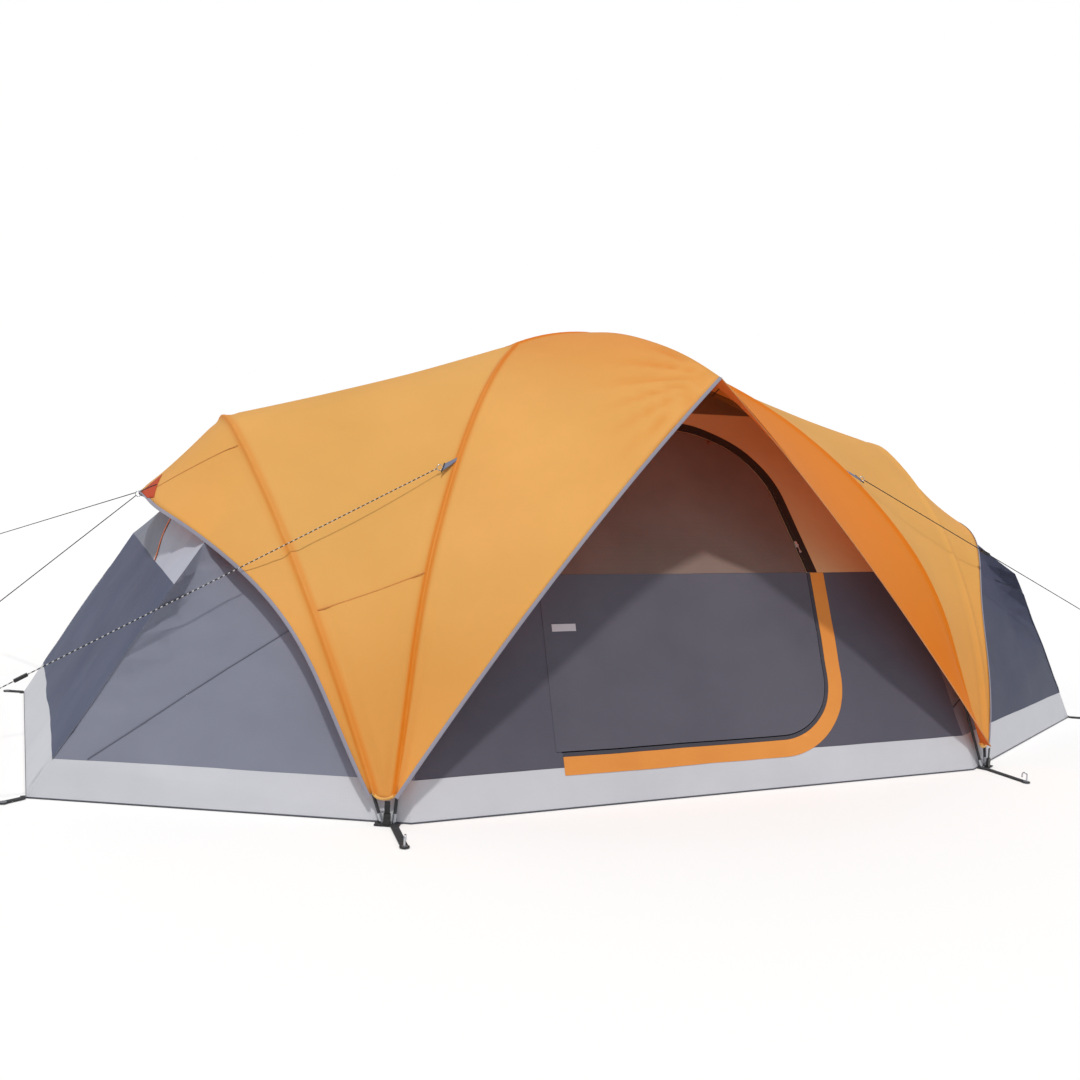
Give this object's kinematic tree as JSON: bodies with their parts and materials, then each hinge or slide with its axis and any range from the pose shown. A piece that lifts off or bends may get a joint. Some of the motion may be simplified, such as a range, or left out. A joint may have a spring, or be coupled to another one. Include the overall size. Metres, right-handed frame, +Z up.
{
  "type": "tent on poles",
  "caption": "Family dome tent with octagonal floor, bent pole frame, grey inner tent with zipped door, orange rain fly forming an awning and end hoods, corner pegs and guy-lines",
  "frame": {"origin": "centre of the footprint on the ground, below the middle of the ridge", "axes": "+X along the long side to the right seen from the door, +Y from the door to the back, +Z up"},
  "size_m": [4.8298, 3.0706, 1.6863],
  "materials": {
    "floor": "coated woven polyester groundsheet",
    "band": "light grey coated polyethylene, slightly glossy",
    "wall_dark": "woven polyester, in the awning shade",
    "wall_light": "blue-grey woven polyester",
    "wall_blue": "darker blue-grey woven polyester",
    "mesh": "fine no-see-um mesh",
    "fly": "orange coated polyester, taut",
    "flap": "orange coated polyester",
    "black_web": "woven polyester webbing",
    "binding": "grey woven binding tape",
    "tab": "blue-grey reinforced fabric",
    "pole": "grey fibreglass, satin",
    "steel": "zinc-plated steel",
    "black_plastic": "moulded acetal",
    "zip_metal": "plated zinc alloy",
    "cord": "braided polyester cord"
  },
  "bodies": {
    "tent": {"floor_sheet": "floor", "floor_band": "band", "front_wall": "wall_dark", "back_wall": "wall_dark", "back_window": "mesh", "roof_mesh": "mesh", "side_roof_left": "wall_light", "side_roof_right": "wall_light", "corner_walls": "wall_light", "end_walls": "wall_blue", "end_windows": "mesh", "storm_flap": "flap", "zip_cover": "black_web", "zip_tape": "black_web", "leg_poles_front": "pole", "leg_poles_back": "pole", "ridge_strut": "pole", "ridge_connectors": "black_plastic", "end_pole_left": "pole", "end_pole_right": "pole", "awning_pole": "pole", "pole_ferrules": "steel", "pole_tips": "steel", "pole_clips": "black_plastic", "corner_tabs": "black_web", "steel_rings": "steel", "end_corner_tabs": "black_web", "end_eyelets": "steel", "pegs": "steel", "fly_front": "fly", "fly_back": "fly", "fly_roof_left": "fly", "fly_roof_right": "fly", "fly_end_left": "fly", "fly_end_right": "fly", "fly_binding": "binding", "awning_pockets": "flap", "guy_tabs": "tab", "guy_rings": "steel", "guy_line_peak_back": "cord", "guy_line_peak_side": "cord", "guy_line_left": "cord", "guy_line_right": "cord", "guy_end_loops": "cord", "buckle_sockets": "black_plastic"},
    "door": {"door_panel": "wall_dark", "door_mesh": "mesh", "door_tieback": "binding"},
    "slider": {"zip_slider": "zip_metal"},
    "pull": {"zip_pull": "zip_metal"},
    "tensioner_l": {"tensioner_left": "black_plastic"},
    "tensioner_r": {"tensioner_right": "black_plastic"},
    "buckle_fl": {"buckle_plug_fl": "black_plastic", "fly_strap_fl": "black_web"},
    "buckle_fr": {"buckle_plug_fr": "black_plastic", "fly_strap_fr": "black_web"},
    "buckle_bl": {"buckle_plug_bl": "black_plastic", "fly_strap_bl": "black_web"},
    "buckle_br": {"buckle_plug_br": "black_plastic", "fly_strap_br": "black_web"}
  },
  "joints": [
    {"name": "door_swing", "type": "hinge", "parent": "tent", "child": "door", "pos_m": [-0.63, -1.26098, 0.17164], "axis": [0, -0.3746, -0.9272], "range_deg": [0, 12]},
    {"name": "zip_run", "type": "slide", "parent": "tent", "child": "slider", "axis": [0, 0.6947, 0.7193], "range_m": [-0.09, 0.2]},
    {"name": "pull_tab_swing", "type": "hinge", "parent": "slider", "child": "pull", "pos_m": [0.525, -0.94286, 0.84949], "axis": [-1, 0, 0], "range_deg": [0, 70]},
    {"name": "tensioner_left_slide", "type": "slide", "parent": "tent", "child": "tensioner_l", "axis": [-0.89, -0.0053, -0.456], "range_m": [-0.35, 0]},
    {"name": "tensioner_right_slide", "type": "slide", "parent": "tent", "child": "tensioner_r", "axis": [0.9078, -0.0479, -0.4166], "range_m": [-0.25, 0.25]},
    {"name": "buckle_fl_slide", "type": "slide", "parent": "tent", "child": "buckle_fl", "axis": [0, 0, 1], "range_m": [0, 0.012], "deforming": ["fly_strap_fl"]},
    {"name": "buckle_fr_slide", "type": "slide", "parent": "tent", "child": "buckle_fr", "axis": [0, 0, 1], "range_m": [0, 0.012], "deforming": ["fly_strap_fr"]},
    {"name": "buckle_bl_slide", "type": "slide", "parent": "tent", "child": "buckle_bl", "axis": [0, 0, 1], "range_m": [0, 0.012], "deforming": ["fly_strap_bl"]},
    {"name": "buckle_br_slide", "type": "slide", "parent": "tent", "child": "buckle_br", "axis": [0, 0, 1], "range_m": [0, 0.012], "deforming": ["fly_strap_br"]}
  ]
}
